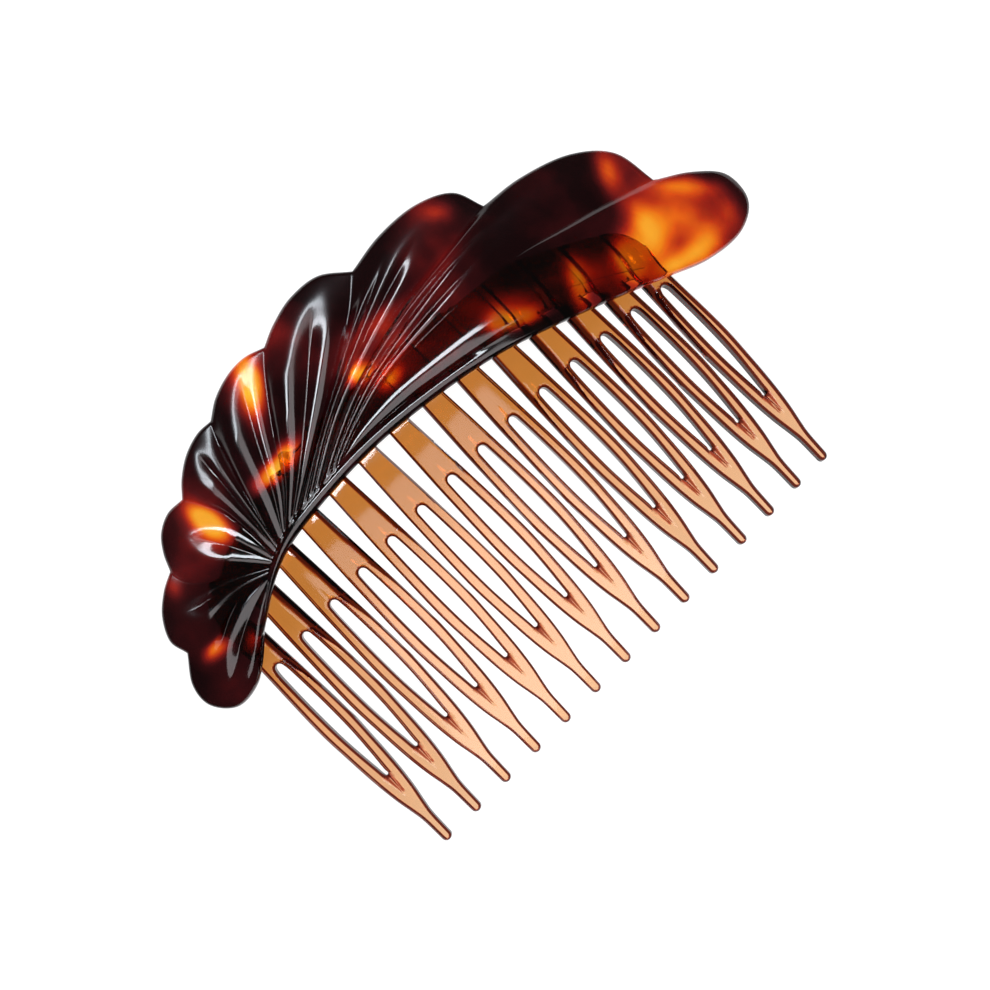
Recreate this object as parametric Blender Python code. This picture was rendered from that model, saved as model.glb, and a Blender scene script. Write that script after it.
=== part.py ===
"""Decorative hair comb, bowed to the curve of a head.

A shell-shaped ornament of nine fanned lobes is cemented on top of a translucent
comb: an arched spine with fourteen forked teeth.

Every outline is drawn flat, in millimetres, as (s, y, h): s runs along the comb,
y runs from the tooth tips (negative) to the crest (positive) and h is the height
above the comb's middle plane. lay_down() then bows the flat shape about an axis
along Y, curves the teeth down, and turns it to lie as it would on a table, on the
two ends of the ornament.
"""
import math

import bmesh
import bpy
import numpy as np

OBJECT_NAME = "hair_comb"
MM = 0.001

# Bow and rest position
BOW_RADIUS = 125.0
BOW_APEX_S = 4.5
BOW_FACET = 5.5
CURVE_STEPS = 12
SHARP_ANGLE_DEG = 35
TOOTH_BOW_RADIUS = 193.0
TOOTH_BOW_START_Y = 3.0
REST_TILT_DEG = -10.6
REST_ROLL_DEG = 0.2
REST_SHIFT = (-0.1255, 12.287, 9.1703)

# Spine of the comb, an arched band about ARCH_CENTRE
ARCH_CENTRE = (-4.0, -79.8)
SPINE_INNER_RADIUS = 82.5
SPINE_OUTER_RADIUS = 89.0
SPINE_ENDS_S = (-41.0, 41.6)
SPINE_THICKNESS = 2.0
SPINE_CORNER = 1.6
SPINE_CHAMFER = 0.3
SPINE_SPANS = 25

# Cement film between spine and ornament
FILM_INSET = 0.8
FILM_END_INSET = 2.4
FILM_THICKNESS = 0.2
CONTACT_GAP = 0.1

# Teeth
TOOTH_COUNT = 14
TOOTH_PITCH = 6.0
TOOTH_LEAN = 0.011
TIP_Y = -46.4
TIP_RADIUS = 0.76
ROOT_HALF_WIDTH = 1.75
SLOT_TOP_Y = -9.9
SLOT_TOP_SAG = 0.00125
SLOT_TOP_APEX_S = -3.0
SLOT_BOTTOM_Y = -33.6
TOOTH_THICKNESS = 2.2
TIP_THICKNESS = 1.4
TOOTH_CHAMFER = 0.35
SHOULDER_HALF_WIDTH = 2.25
# Half widths of a tooth and of its slot, from the slot's top down: (y, half width)
FLANK = ((-22.0, 2.65), (-28.0, 2.45), (-33.0, 2.15), (-37.0, 1.7), (-40.0, 1.15), (-42.0, 0.86))
SLOT = ((-19.5, 1.0), (-25.0, 0.95), (-29.0, 0.7), (-32.0, 0.42))
# The slot's round top, as (depth below the top, half width), and its narrow bottom
SLOT_CROWN = ((0.2, 0.6), (1.6, 0.85))
SLOT_BOTTOM_HALF_WIDTH = 0.16

# Ornament: lower edge from the left end to the start of the long right-hand finger
LOWER_EDGE = (
    (-39.0, -8.7), (-35.0, -6.0), (-30.0, -2.9), (-25.0, -1.1), (-17.0, -0.1),
    (-8.0, 0.2), (2.0, -0.7), (14.0, -2.9), (27.0, -7.1), (40.0, -11.8),
)
RIM_WIDTH = 2.0
# Outline of each lobe, clockwise from the left end of the lower edge to its right end
LOBES = (
    ((-39.0, -8.7), (-42.2, -11.5), (-46.6, -12.0), (-49.5, -9.0), (-49.3, -5.2), (-46.6, -1.5)),
    ((-46.6, -1.5), (-47.1, 1.4), (-45.3, 4.7), (-42.6, 7.0), (-40.0, 8.3)),
    ((-40.0, 8.3), (-38.8, 10.8), (-37.0, 13.0), (-34.4, 14.3), (-31.6, 14.2)),
    ((-31.6, 14.2), (-29.6, 16.3), (-26.8, 18.2), (-23.7, 19.2), (-21.1, 19.1)),
    ((-21.1, 19.1), (-18.4, 20.9), (-15.0, 22.0), (-11.7, 22.1), (-8.7, 21.1)),
    ((-8.7, 21.1), (-5.6, 22.5), (-1.4, 23.5), (3.4, 23.0), (7.4, 20.0)),
    ((7.4, 20.0), (13.5, 21.0), (20.1, 20.6), (25.4, 18.2), (27.4, 13.7)),
    ((27.4, 13.7), (34.3, 13.0), (42.1, 10.6), (47.6, 6.2), (49.2, -0.5)),
    ((49.2, -0.5), (54.6, -3.4), (58.6, -7.2), (58.2, -12.2), (53.6, -14.7), (46.8, -14.2), (40.0, -11.8)),
)
# Valley between each pair of lobes, from its notch to its foot on the rim
VALLEYS = (
    ((-46.6, -1.5), (-43.8, -2.8), (-41.0, -2.7), (-38.0, -1.6), (-34.5, -1.2)),
    ((-40.0, 8.3), (-39.4, 5.7), (-37.4, 3.6), (-33.6, 1.5)),
    ((-31.6, 14.2), (-30.2, 11.8), (-28.8, 8.6), (-28.2, 4.0)),
    ((-21.1, 19.1), (-22.8, 15.2), (-24.4, 10.0), (-25.8, 4.0)),
    ((-8.7, 21.1), (-11.5, 18.0), (-15.5, 12.6), (-20.0, 5.8)),
    ((7.4, 20.0), (2.8, 16.0), (-5.4, 10.6), (-14.4, 5.4)),
    ((27.4, 13.7), (17.5, 12.6), (5.0, 10.6), (-7.0, 7.0)),
    ((49.2, -0.5), (36.1, 3.0), (22.0, 5.8), (4.0, 6.2), (-6.0, 4.4)),
)
VALLEY_FEET_S = (-30.4, -29.3, -28.1, -26.6, -24.4, -21.4, -16.6, -12.4)
FIRST_FOOT_S = -31.4
FINGER_FOOT_S = -11.2
RIM_LINE_POINTS = 60
WALL_HEIGHT = 1.4
VALLEY_HEIGHT = 1.6
CREST_HEIGHT = 3.1
RIM_HEIGHT = 2.3
SHOULDER_START = 0.8
SHOULDER_SLOPE = 3.5
PILLOW_POWER = 0.7
LOBE_COLUMNS = 8
LOBE_ROWS = (0.0, 0.05, 0.13, 0.28, 0.46, 0.64, 0.82, 1.0)

TORTOISESHELL = (0.045, 0.008, 0.006, 1.0)
AMBER = (0.55, 0.22, 0.06, 1.0)
CEMENT = (0.75, 0.62, 0.40, 1.0)


def clear_scene():
    for existing in list(bpy.data.objects):
        bpy.data.objects.remove(existing, do_unlink=True)


def make_material(name, colour, roughness):
    material = bpy.data.materials.new(name)
    material.use_nodes = True
    shader = material.node_tree.nodes["Principled BSDF"]
    shader.inputs["Base Color"].default_value = colour
    shader.inputs["Roughness"].default_value = roughness
    shader.inputs["Metallic"].default_value = 0.0
    material.diffuse_color = colour
    return material


def arch_y(s, radius):
    """Height of the arc of this radius about the arch's centre, at station s."""
    return ARCH_CENTRE[1] + math.sqrt(radius**2 - (s - ARCH_CENTRE[0]) ** 2)


def smooth_curve(points, per_span):
    """Catmull-Rom curve through the points, with per_span steps between each two."""
    knots = [np.array(p, dtype=float) for p in points]
    knots = [2 * knots[0] - knots[1]] + knots + [2 * knots[-1] - knots[-2]]
    curve = []
    for before, start, end, after in zip(knots, knots[1:], knots[2:], knots[3:]):
        for step in range(per_span):
            t = step / per_span
            linear = (end - before) * t
            square = (2 * before - 5 * start + 4 * end - after) * t**2
            cube = (3 * start - before - 3 * end + after) * t**3
            curve.append(start + 0.5 * (linear + square + cube))
    curve.append(knots[-2])
    return np.array(curve)


def resample(curve, fractions):
    """Points at these fractions of the curve's length."""
    steps = np.linalg.norm(np.diff(curve, axis=0), axis=1)
    along = np.concatenate(([0.0], np.cumsum(steps)))
    along /= along[-1]
    return np.column_stack([np.interp(fractions, along, curve[:, axis]) for axis in (0, 1)])


def lay_down(s, y, h):
    """World position in metres of a point of the flat drawing."""
    angle = (s - BOW_APEX_S) / BOW_RADIUS
    reach = max(0.0, TOOTH_BOW_START_Y - y)
    x = (BOW_RADIUS + h) * math.sin(angle)
    z = (BOW_RADIUS + h) * math.cos(angle) - BOW_RADIUS - reach**2 / (2 * TOOTH_BOW_RADIUS)
    tilt = math.radians(REST_TILT_DEG)
    y, z = y * math.cos(tilt) - z * math.sin(tilt), y * math.sin(tilt) + z * math.cos(tilt)
    roll = math.radians(REST_ROLL_DEG)
    x, z = x * math.cos(roll) + z * math.sin(roll), z * math.cos(roll) - x * math.sin(roll)
    return tuple((value + shift) * MM for value, shift in zip((x, y, z), REST_SHIFT))


def add_object(name, mesh, material, collection):
    mesh.materials.clear()
    mesh.materials.append(material)
    part = bpy.data.objects.new(name, mesh)
    collection.objects.link(part)
    mesh.shade_smooth()
    mesh.set_sharp_from_angle(angle=math.radians(SHARP_ANGLE_DEG))
    return part


def cut_across(shape):
    """Cut a flat shape at even steps along s, so that its faces can follow the bow."""
    stations = [vertex.co.x for vertex in shape.verts]
    for station in np.arange(min(stations) + BOW_FACET, max(stations) - BOW_FACET / 2, BOW_FACET):
        everything = list(shape.verts) + list(shape.edges) + list(shape.faces)
        bmesh.ops.bisect_plane(shape, geom=everything, dist=0.001,
                               plane_co=(station, 0.0, 0.0), plane_no=(1.0, 0.0, 0.0))


def flat_plate(name, outlines, thickness, chamfer):
    """Mesh of a flat plate with chamfered edges, about height 0.

    The first outline is the edge of the plate and any other is a hole.
    """
    drawing = bpy.data.curves.new(name + "_outline", "CURVE")
    drawing.dimensions = "2D"
    drawing.fill_mode = "BOTH"
    drawing.extrude = thickness / 2 - chamfer
    drawing.bevel_depth = chamfer
    drawing.bevel_resolution = 0
    drawing.offset = -chamfer
    for outline in outlines:
        spline = drawing.splines.new("POLY")
        spline.points.add(len(outline) - 1)
        for point, (s, y) in zip(spline.points, outline):
            point.co = (s, y, 0.0, 1.0)
        spline.use_cyclic_u = True
    flat = bpy.data.objects.new(name + "_flat", drawing)
    bpy.context.scene.collection.objects.link(flat)
    bpy.context.view_layer.update()
    mesh = bpy.data.meshes.new_from_object(flat.evaluated_get(bpy.context.evaluated_depsgraph_get()))
    mesh.name = name
    bpy.data.objects.remove(flat)
    bpy.data.curves.remove(drawing)
    return mesh


def plate(name, outlines, thickness, chamfer, material, collection, level=0.0, taper=None):
    """Plate cut from closed outlines and laid on the bow.

    level is the height of its middle, and taper(y) scales its thickness along the teeth.
    """
    mesh = flat_plate(name, outlines, thickness, chamfer)
    shape = bmesh.new()
    shape.from_mesh(mesh)
    bmesh.ops.remove_doubles(shape, verts=shape.verts, dist=0.001)
    cut_across(shape)
    bmesh.ops.triangulate(shape, faces=shape.faces)
    bmesh.ops.recalc_face_normals(shape, faces=shape.faces)
    for vertex in shape.verts:
        s, y, h = vertex.co
        vertex.co = lay_down(s, y, level + h * (taper(y) if taper else 1.0))
    shape.to_mesh(mesh)
    shape.free()
    return add_object(name, mesh, material, collection)


def band_outline(inner_radius, outer_radius, ends_s, corner):
    """Arched band between two arcs about the arch's centre, with its corners cut."""
    start, end = ends_s
    stations = np.linspace(start + corner, end - corner, SPINE_SPANS)
    lower = [(s, arch_y(s, inner_radius)) for s in stations]
    upper = [(s, arch_y(s, outer_radius)) for s in stations[::-1]]
    right = [(end, arch_y(end, inner_radius) + corner), (end, arch_y(end, outer_radius) - corner)]
    left = [(start, arch_y(start, outer_radius) - corner), (start, arch_y(start, inner_radius) + corner)]
    return lower + right + upper + left


def make_spine(material, collection):
    outline = band_outline(SPINE_INNER_RADIUS, SPINE_OUTER_RADIUS, SPINE_ENDS_S, SPINE_CORNER)
    return plate("comb_spine", [outline], SPINE_THICKNESS, SPINE_CHAMFER, material, collection)


def make_cement_film(material, collection):
    ends = (SPINE_ENDS_S[0] + FILM_END_INSET, SPINE_ENDS_S[1] - FILM_END_INSET)
    inner = SPINE_INNER_RADIUS + FILM_INSET
    outer = SPINE_OUTER_RADIUS - FILM_INSET
    outline = band_outline(inner, outer, ends, FILM_INSET)
    level = SPINE_THICKNESS / 2 + CONTACT_GAP + FILM_THICKNESS / 2
    return plate("cement_film", [outline], FILM_THICKNESS, 0.0, material, collection, level)


def tooth_height(y):
    """Thickness at y as a share of the root's: the teeth thin towards their tips."""
    share = min(1.0, max(0.0, y / TIP_Y))
    return 1.0 + share * (TIP_THICKNESS / TOOTH_THICKNESS - 1.0)


def tooth_outlines(centre_s):
    """Edge and slot of the tooth that stands at centre_s."""
    slot_top = SLOT_TOP_Y - SLOT_TOP_SAG * (centre_s - SLOT_TOP_APEX_S) ** 2
    root_radius = SPINE_INNER_RADIUS - CONTACT_GAP
    root = [(w, arch_y(centre_s + w, root_radius)) for w in (-ROOT_HALF_WIDTH, 0.0, ROOT_HALF_WIDTH)]
    right = [(ROOT_HALF_WIDTH, root[2][1]), (SHOULDER_HALF_WIDTH, slot_top)]
    right += [(width, y) for y, width in FLANK] + [(TIP_RADIUS, TIP_Y + TIP_RADIUS)]
    left = [(-ROOT_HALF_WIDTH, root[0][1])] + [(-width, y) for width, y in right[1:]]
    right = smooth_curve(right, 2)
    left = smooth_curve(left, 2)
    tip = [(TIP_RADIUS * math.cos(turn), TIP_Y + TIP_RADIUS + TIP_RADIUS * math.sin(turn))
           for turn in np.radians((-45.0, -90.0, -135.0))]
    edge = [root[1]] + list(right) + tip + list(left[::-1])
    side = [(width, slot_top - depth) for depth, width in SLOT_CROWN]
    side += [(width, y) for y, width in SLOT] + [(SLOT_BOTTOM_HALF_WIDTH, SLOT_BOTTOM_Y)]
    side = smooth_curve(side, 2)
    slot = [(0.0, slot_top)] + list(side) + [(-width, y) for width, y in side[::-1]]
    return [[(centre_s + w + TOOTH_LEAN * (SLOT_TOP_Y - y), y) for w, y in outline]
            for outline in (edge, slot)]


def make_teeth(material, collection):
    for index in range(TOOTH_COUNT):
        centre_s = (index - (TOOTH_COUNT - 1) / 2) * TOOTH_PITCH
        name = "tooth_%02d" % (index + 1)
        plate(name, tooth_outlines(centre_s), TOOTH_THICKNESS, TOOTH_CHAMFER, material, collection,
              taper=tooth_height)


def lower_edge_y(s):
    """Height of the ornament's lower edge at station s."""
    curve = smooth_curve(LOWER_EDGE, CURVE_STEPS)
    return float(np.interp(s, curve[:, 0], curve[:, 1]))


def rim_inner_line(s):
    """Point on the inner edge of the rim, which narrows to nothing at both ends."""
    start, end = LOWER_EDGE[0][0], LOWER_EDGE[-1][0]
    share = (s - start) / (end - start)
    width = RIM_WIDTH * min(1.0, 5.0 * min(share, 1.0 - share))
    return (s, lower_edge_y(s) + width)


def rim_stretch(start_s, end_s, count):
    return np.array([rim_inner_line(s) for s in np.linspace(start_s, end_s, count)])


def valley_line(index, foot_s):
    """Valley on the right of this lobe, as points at the lobe's rows."""
    route = list(VALLEYS[index]) + [rim_inner_line(foot_s)]
    return resample(smooth_curve(route, CURVE_STEPS), np.array(LOBE_ROWS))


def rim_line(start_s, end_s):
    """Stretch of the rim's inner edge that borders an end lobe, as points at its rows."""
    return resample(rim_stretch(start_s, end_s, RIM_LINE_POINTS), np.array(LOBE_ROWS))


def lobe_borders(index):
    """Left border, right border and foot of a lobe; each border runs from edge to foot."""
    foot_s = [FIRST_FOOT_S] + list(VALLEY_FEET_S) + [FINGER_FOOT_S]
    if index == 0:
        left = rim_line(LOWER_EDGE[0][0], FIRST_FOOT_S)
    else:
        left = valley_line(index - 1, foot_s[index])
    if index == len(LOBES) - 1:
        right = rim_line(LOWER_EDGE[-1][0], FINGER_FOOT_S)
    else:
        right = valley_line(index, foot_s[index + 1])
    foot = rim_stretch(foot_s[index], foot_s[index + 1], LOBE_COLUMNS + 1)
    return left, right, foot


def lobe_grid(index):
    """Coons patch of a lobe: rows from the outer edge to the foot, columns left to right."""
    across = np.linspace(0.0, 1.0, LOBE_COLUMNS + 1)
    edge = resample(smooth_curve(LOBES[index], CURVE_STEPS), across)
    left, right, foot = lobe_borders(index)
    grid = np.zeros((len(LOBE_ROWS), len(across), 2))
    for row, b in enumerate(LOBE_ROWS):
        for column, a in enumerate(across):
            ruled = (1 - b) * edge[column] + b * foot[column]
            ruled = ruled + (1 - a) * left[row] + a * right[row]
            corners = (1 - b) * ((1 - a) * edge[0] + a * edge[-1])
            corners = corners + b * ((1 - a) * foot[0] + a * foot[-1])
            grid[row, column] = ruled - corners
    return grid


def lobe_height(a, b):
    """Height of the relief above the ornament's back, across (a) and along (b) a lobe."""
    if b == 0.0:
        return WALL_HEIGHT
    pillow = math.sin(math.pi * a) ** PILLOW_POWER if 0.0 < a < 1.0 else 0.0
    shoulder = min(1.0, SHOULDER_START + SHOULDER_SLOPE * b)
    crest = CREST_HEIGHT - (CREST_HEIGHT - RIM_HEIGHT) * b**2
    return (VALLEY_HEIGHT + (crest - VALLEY_HEIGHT) * pillow) * shoulder


def lobe_heights(index):
    """Heights of a lobe's grid, which meets the rim at its foot and at the two end lobes' sides."""
    across = np.linspace(0.0, 1.0, LOBE_COLUMNS + 1)
    heights = np.array([[lobe_height(a, b) for a in across] for b in LOBE_ROWS])
    heights[-1, :] = RIM_HEIGHT
    if index == 0:
        heights[1:, 0] = RIM_HEIGHT
    if index == len(LOBES) - 1:
        heights[1:, -1] = RIM_HEIGHT
    return heights


def add_patch(shape, back, points, heights):
    """Top and back faces of a grid of points, and the wall along its first row."""
    rows, columns = heights.shape
    top = [[shape.verts.new((*points[r, c], back + heights[r, c])) for c in range(columns)]
           for r in range(rows)]
    base = [[shape.verts.new((*points[r, c], back)) for c in range(columns)]
            for r in range(rows)]
    for r in range(rows - 1):
        for c in range(columns - 1):
            shape.faces.new((top[r][c], top[r][c + 1], top[r + 1][c + 1], top[r + 1][c]))
            shape.faces.new((base[r][c], base[r + 1][c], base[r + 1][c + 1], base[r][c + 1]))
    for c in range(columns - 1):
        shape.faces.new((base[0][c], base[0][c + 1], top[0][c + 1], top[0][c]))


def add_rim(shape, back, inner, heights):
    """Rim between the ornament's lower edge and the line where it meets the lobes."""
    outer = np.array([(s, lower_edge_y(s)) for s, y in inner])
    points = np.array([outer, (outer + inner) / 2, inner])
    lip = np.full(len(inner), WALL_HEIGHT)
    add_patch(shape, back, points[:, ::-1], np.array([lip, heights, heights])[:, ::-1])


def make_ornament(material, collection):
    """Relief of nine lobes and the rim below them, closed by a plain back."""
    back = SPINE_THICKNESS / 2 + FILM_THICKNESS + 2 * CONTACT_GAP
    shape = bmesh.new()
    grids = [lobe_grid(index) for index in range(len(LOBES))]
    heights = [lobe_heights(index) for index in range(len(LOBES))]
    for grid, relief in zip(grids, heights):
        add_patch(shape, back, grid, relief)
    inner = [grids[0][:, 0]] + [grid[-1] for grid in grids] + [grids[-1][::-1, -1]]
    crown = [heights[0][:, 0]] + [relief[-1] for relief in heights] + [heights[-1][::-1, -1]]
    add_rim(shape, back, np.concatenate(inner), np.concatenate(crown))
    bmesh.ops.remove_doubles(shape, verts=shape.verts, dist=0.002)
    bmesh.ops.dissolve_degenerate(shape, edges=shape.edges, dist=0.002)
    bmesh.ops.triangulate(shape, faces=shape.faces)
    cut_across(shape)
    bmesh.ops.triangulate(shape, faces=shape.faces)
    bmesh.ops.recalc_face_normals(shape, faces=shape.faces)
    for vertex in shape.verts:
        vertex.co = lay_down(*vertex.co)
    mesh = bpy.data.meshes.new("ornament")
    shape.to_mesh(mesh)
    shape.free()
    return add_object("ornament", mesh, material, collection)


def main():
    clear_scene()
    collection = bpy.data.collections.new(OBJECT_NAME)
    bpy.context.scene.collection.children.link(collection)
    amber = make_material("amber_acrylic", AMBER, 0.15)
    make_ornament(make_material("tortoiseshell_acrylic", TORTOISESHELL, 0.08), collection)
    make_cement_film(make_material("clear_cement", CEMENT, 0.3), collection)
    make_spine(amber, collection)
    make_teeth(amber, collection)


main()
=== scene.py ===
"""Decorative hair comb: a tortoiseshell ornament of nine fanned lobes on a translucent comb.

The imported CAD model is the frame. Two fine pieces stand for its coarse ones: the ornament
with its ribs, and the comb with its fourteen forked teeth in one piece, as it was moulded.

Shapes are drawn flat, in millimetres, as (s, y, h): s runs along the comb, y from the tooth
tips to the crest, and h is the height above the comb's middle plane. lay_down() bows the
drawing and lays it on the table, in the same place as the CAD model.
"""
import math

import bmesh
import bpy
import numpy as np
from mathutils import Matrix, Vector
from mathutils.kdtree import KDTree


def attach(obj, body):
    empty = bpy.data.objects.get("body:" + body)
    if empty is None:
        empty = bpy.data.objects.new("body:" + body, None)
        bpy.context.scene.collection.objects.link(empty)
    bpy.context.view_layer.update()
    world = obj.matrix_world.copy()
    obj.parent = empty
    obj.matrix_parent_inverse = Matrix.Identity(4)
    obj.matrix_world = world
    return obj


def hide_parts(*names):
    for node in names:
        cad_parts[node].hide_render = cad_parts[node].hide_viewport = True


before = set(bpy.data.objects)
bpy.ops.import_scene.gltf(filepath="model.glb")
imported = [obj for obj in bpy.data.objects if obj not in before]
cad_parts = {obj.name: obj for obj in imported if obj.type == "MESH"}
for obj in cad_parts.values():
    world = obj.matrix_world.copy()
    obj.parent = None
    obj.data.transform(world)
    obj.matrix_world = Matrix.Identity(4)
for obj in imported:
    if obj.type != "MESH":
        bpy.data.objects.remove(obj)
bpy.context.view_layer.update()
MM = 0.001
NEAREST_EDGES = 8
EDGE_PIECE = 0.15
WELD_DISTANCE = 0.004
LEAST_EDGE = 0.002
CURVE_STEPS = 12

# Bow and place on the table, as in the CAD model
BOW_RADIUS = 125.0
BOW_APEX_S = 4.5
TOOTH_BOW_RADIUS = 193.0
TOOTH_BOW_START_Y = 3.0
REST_TILT = math.radians(-10.6)
REST_ROLL = math.radians(0.2)
REST_SHIFT = (-0.1255, 12.287, 9.1703)

# Comb
ARCH_CENTRE = (-4.0, -79.8)
SPINE_INNER_RADIUS = 82.5
SPINE_OUTER_RADIUS = 89.0
SPINE_ENDS_S = (-41.0, 40.9)
SPINE_THICKNESS = 2.0
SPINE_CORNER = 3.2
TOOTH_COUNT = 14
TOOTH_PITCH = 6.0
TOOTH_LEAN = 0.011
TOOTH_THICKNESS = 2.2
TIP_THICKNESS = 1.4
TIP_Y = -46.4
TIP_RADIUS = 0.76
ROOT_DROP = 0.3
ROOT_BLEND = 1.0
SLOT_TOP_Y = -9.9
SLOT_TOP_SAG = 0.00125
SLOT_TOP_APEX_S = -3.0
SLOT_BOTTOM_Y = -33.6
SLOT_TOP_RADIUS = 0.85
SLOT_BOTTOM_RADIUS = 0.3
SLOT_CROWN_HALF_WIDTH = 0.72
SHOULDER_HALF_WIDTH = 2.25
# Half widths of a tooth above and below its shoulder, and of its slot: (y, half width)
ROOT_FLANK = ((2.5, 1.7), (0.0, 1.75))
FLANK = ((-22.0, 2.65), (-28.0, 2.45), (-33.0, 2.15), (-37.0, 1.7), (-40.0, 1.15), (-42.0, 0.86))
SLOT = ((-13.6, 0.85), (-19.5, 1.0), (-25.0, 0.95), (-29.0, 0.7), (-32.0, 0.42))
# Spacing of the comb's mesh: steps in from an edge, and counts of steps
EDGE_STEPS = (0.0, 0.12, 0.25, 0.34, 0.4, 0.46)
EDGE_STEPS_SHARE = 2.5
MIDDLE_COLUMNS = 3
TOOTH_CURVE_STEPS = 8
TURN_STEPS = 7
SHANK_STEPS = 6
SHANK_END_STEPS = (0.6, 0.3, 0.12)
LEG_STEPS = 26
LEG_MARGINS = (1.2, 0.8)
NECK_MARGINS = (0.15, 0.988)
SPINE_END_STEPS = (0.0, 0.12, 0.4)
SPINE_GAP_STEPS = (0.12, 0.35, 0.65, 0.88)
SPINE_ROWS = (0.0, 0.04, 0.12, 0.3, 0.5, 0.7, 0.88, 0.96, 1.0)
CHAMFER_WIDTH = 0.38
CHAMFER_DROP = 0.42
CHAMFER_POWER = 1.15
TIP_CHAMFER_SHARE = 0.75
COMB_SHARP_ANGLE = 30
# Wider bevel along the side of each shank that faces the comb's middle
WIDE_BEVEL_WIDTH = 1.15
WIDE_BEVEL_DROP = 0.8
WIDE_BEVEL_Y = (-20.0, -9.0)
WIDE_BEVEL_REACH = 26.0
WIDE_BEVEL_LEAST = 0.35
MIDDLE_S = -1.0
# Groove that tapers down from the bottom of each slot
GROOVE_LENGTH = 4.2
GROOVE_DEPTH = 0.55
GROOVE_HALF_WIDTH = 0.62
GROOVE_START = 0.12
# Painted shade on the comb: darker walls, bevels and grooves, and darker towards the spine under the
# ornament
WALL_SHADE_WIDTH = 0.36
WALL_SHADE_FADE = 0.1
WALL_SHADE_BEVEL_SHARE = 0.15
WALL_SHADE_ROOT_FADE = 0.6
GROOVE_SHADE = 0.75
# Painted shade towards the spine, where the ornament shades the shanks: where it starts and is full
SPINE_SHADE_Y = (-22.0, -8.0)

# Ornament: its lower edge runs from the left end to the start of the long right-hand finger
ORNAMENT_BACK = 1.4
LOWER_EDGE = (
    (-39.0, -8.7), (-35.0, -6.0), (-30.0, -2.9), (-25.0, -1.1), (-17.0, -0.1),
    (-8.0, 0.2), (2.0, -0.7), (14.0, -2.9), (27.0, -7.1), (40.0, -11.8),
)
RIM_WIDTH = 2.0
# Outline of each lobe, clockwise from the left end of the lower edge to its right end
LOBES = (
    ((-39.0, -8.7), (-42.2, -11.5), (-46.6, -12.0), (-49.5, -9.0), (-49.3, -5.2), (-46.6, -1.5)),
    ((-46.6, -1.5), (-47.1, 1.4), (-45.3, 4.7), (-42.6, 7.0), (-40.0, 8.3)),
    ((-40.0, 8.3), (-38.8, 10.8), (-37.0, 13.0), (-34.4, 14.3), (-31.6, 14.2)),
    ((-31.6, 14.2), (-29.6, 16.3), (-26.8, 18.2), (-23.7, 19.2), (-21.1, 19.1)),
    ((-21.1, 19.1), (-18.4, 20.9), (-15.0, 22.0), (-11.7, 22.1), (-8.7, 21.1)),
    ((-8.7, 21.1), (-5.6, 22.5), (-1.4, 23.5), (3.4, 23.0), (7.4, 20.0)),
    ((7.4, 20.0), (13.5, 21.0), (20.1, 20.6), (25.4, 18.2), (27.4, 13.7)),
    ((27.4, 13.7), (34.3, 13.0), (42.1, 10.6), (47.6, 6.2), (49.2, -0.5)),
    ((49.2, -0.5), (54.6, -3.4), (58.6, -7.2), (58.2, -12.2), (53.6, -14.7), (46.8, -14.2), (40.0, -11.8)),
)
# Valley between each pair of lobes, from its notch to its foot on the rim
VALLEYS = (
    ((-46.6, -1.5), (-43.8, -2.8), (-41.0, -2.7), (-38.0, -1.6), (-34.5, -1.2)),
    ((-40.0, 8.3), (-39.4, 5.7), (-37.4, 3.6), (-33.6, 1.5)),
    ((-31.6, 14.2), (-30.2, 11.8), (-28.8, 8.6), (-28.2, 4.0)),
    ((-21.1, 19.1), (-22.8, 15.2), (-24.4, 10.0), (-25.8, 4.0)),
    ((-8.7, 21.1), (-11.5, 18.0), (-15.5, 12.6), (-20.0, 5.8)),
    ((7.4, 20.0), (2.8, 16.0), (-5.4, 10.6), (-14.4, 5.4)),
    ((27.4, 13.7), (17.5, 12.6), (5.0, 10.6), (-7.0, 7.0)),
    ((49.2, -0.5), (36.1, 3.0), (22.0, 5.8), (4.0, 6.2), (-6.0, 4.4)),
)
VALLEY_FEET_S = (-30.4, -29.3, -28.1, -26.6, -24.4, -21.4, -16.6, -12.4)
FIRST_FOOT_S = -31.4
FINGER_FOOT_S = -11.2
# Each lobe's ribs: where they part, as shares of its width, and where they start and are full,
# as shares of its length
RIBS = (
    ((0.0, 0.56, 1.0), 0.15, 0.5),
    ((0.0, 0.6, 1.0), 0.15, 0.5),
    ((0.0, 0.58, 1.0), 0.2, 0.55),
    ((0.0, 0.66, 1.0), 0.03, 0.25),
    ((0.0, 0.7, 1.0), 0.03, 0.25),
    ((0.0, 0.66, 1.0), 0.08, 0.3),
    ((0.0, 0.4, 0.7, 1.0), 0.12, 0.45),
    ((0.0, 0.5, 0.76, 1.0), 0.3, 0.7),
    ((0.0, 0.72, 1.0), 0.72, 0.95),
)
# Heights above the ornament's back, and the shape of the relief
VALLEY_HEIGHT = 1.55
FOOT_HEIGHT = 1.75
CREST_RISE = 1.4
CREST_FALL = 0.4
RIB_RISE_PER_WIDTH = 0.2
RIB_SHARE = 0.7
LIFT_SHARE = 0.4
PILLOW_DOME = 0.85
RIM_CREST = 2.2
RIM_DOME = 0.8
RIM_DOME_START = 0.02
RIM_TAPER = 5.0
RIM_INNER_SHARE = 0.8
# Towards the finger the rim opens and melts into the last lobe
OPEN_RIM_S = (6.0, 18.0)
OPEN_RIM_HEIGHT = 2.25
OPEN_RIM_SHARE = 0.9
OPEN_RIM_BLEND = 0.45
FIRST_EDGE_HEIGHT = 2.0
FIRST_EDGE_BLEND = 0.35
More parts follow.
